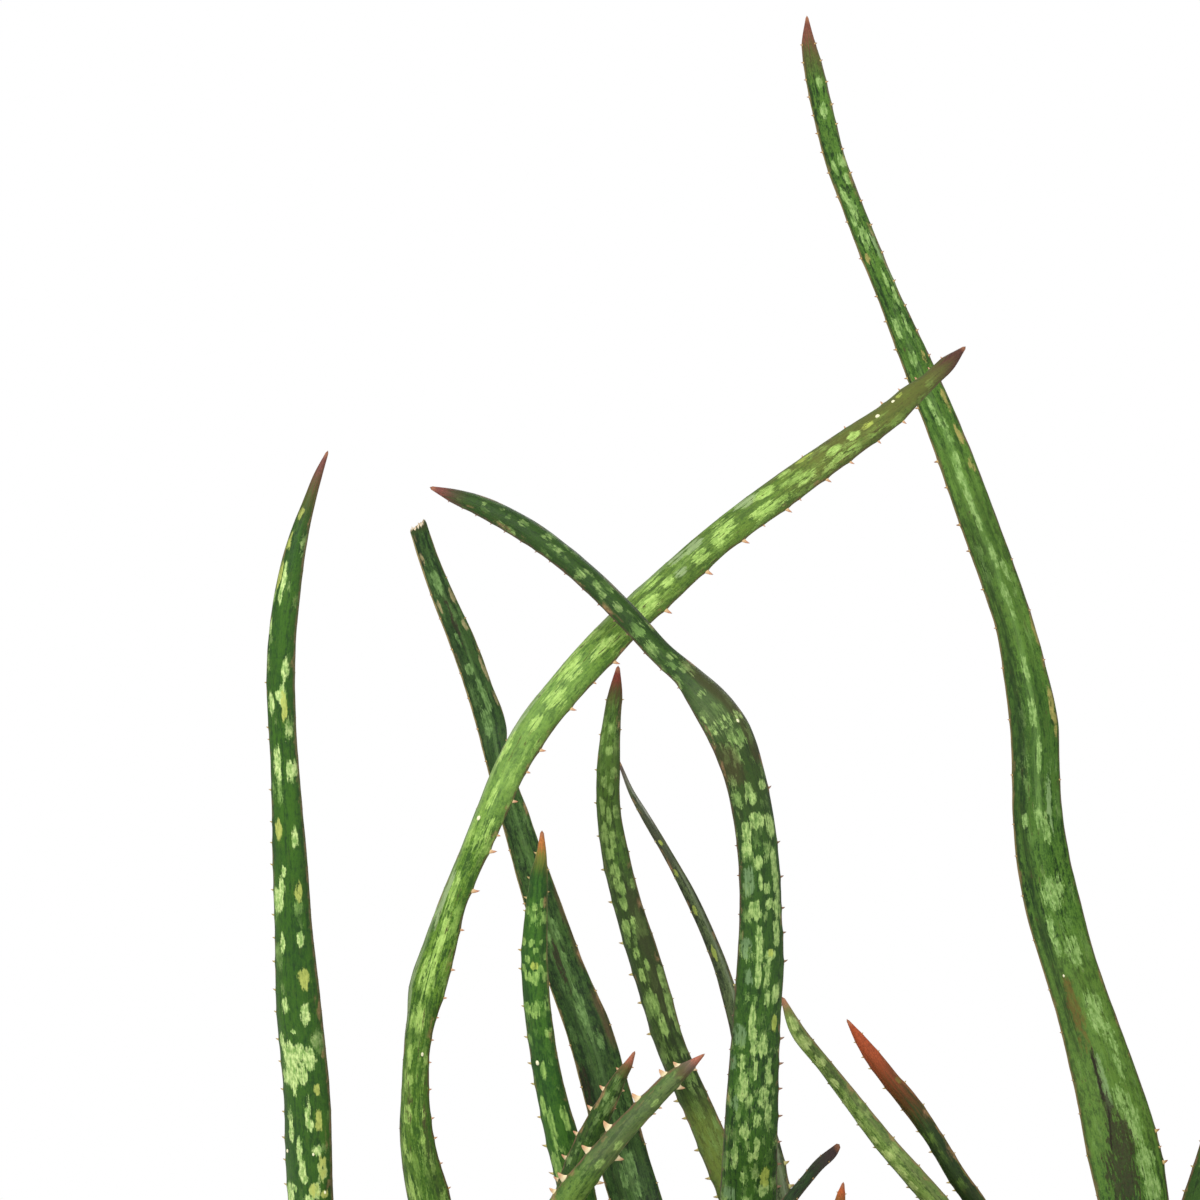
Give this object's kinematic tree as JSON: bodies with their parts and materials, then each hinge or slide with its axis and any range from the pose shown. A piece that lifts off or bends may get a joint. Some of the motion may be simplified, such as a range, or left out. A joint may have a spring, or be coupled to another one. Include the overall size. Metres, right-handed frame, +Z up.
{
  "type": "potted snow queen aloe",
  "caption": "Spotted aloe with long narrow toothed leaves arching from three crowns, growing in soil in a plain round terracotta pot that stands on a flat base",
  "frame": {"origin": "centre of the pot's flat underside, where it rests", "axes": "+Z up; -Y towards the viewer of the picture; +X to the viewer's right"},
  "size_m": [0.4236, 0.27, 0.7295],
  "materials": {
    "terracotta": "matte",
    "soil": "matte",
    "stem": "matte",
    "leaf": "satin"
  },
  "bodies": {
    "root": {"pot": "terracotta", "soil": "soil", "stem_left": "stem", "stem_middle": "stem", "stem_right": "stem", "leaf_left_upright": "leaf", "leaf_cut_tip": "leaf", "leaf_long_arch": "leaf", "leaf_left_arch": "leaf", "leaf_slim_front": "leaf", "leaf_mid_upright": "leaf", "leaf_mid_thin": "leaf", "leaf_right_low": "leaf", "leaf_red_tip": "leaf", "leaf_dark_blunt": "leaf", "leaf_orange_tip": "leaf", "leaf_tallest": "leaf", "leaf_right_edge": "leaf", "leaf_small_behind": "leaf", "leaf_small_front": "leaf", "leaf_left_back": "leaf", "leaf_left_back_short": "leaf", "leaf_left_front_low": "leaf", "leaf_left_heart": "leaf", "leaf_mid_back_left": "leaf", "leaf_mid_back": "leaf", "leaf_mid_front": "leaf", "leaf_mid_right_low": "leaf", "leaf_right_back": "leaf", "leaf_right_front": "leaf", "leaf_right_side": "leaf", "leaf_right_heart": "leaf", "leaf_mid_left_low": "leaf", "leaf_right_back_short": "leaf", "leaf_right_front_low": "leaf", "leaf_right_inner": "leaf"}
  },
  "joints": []
}
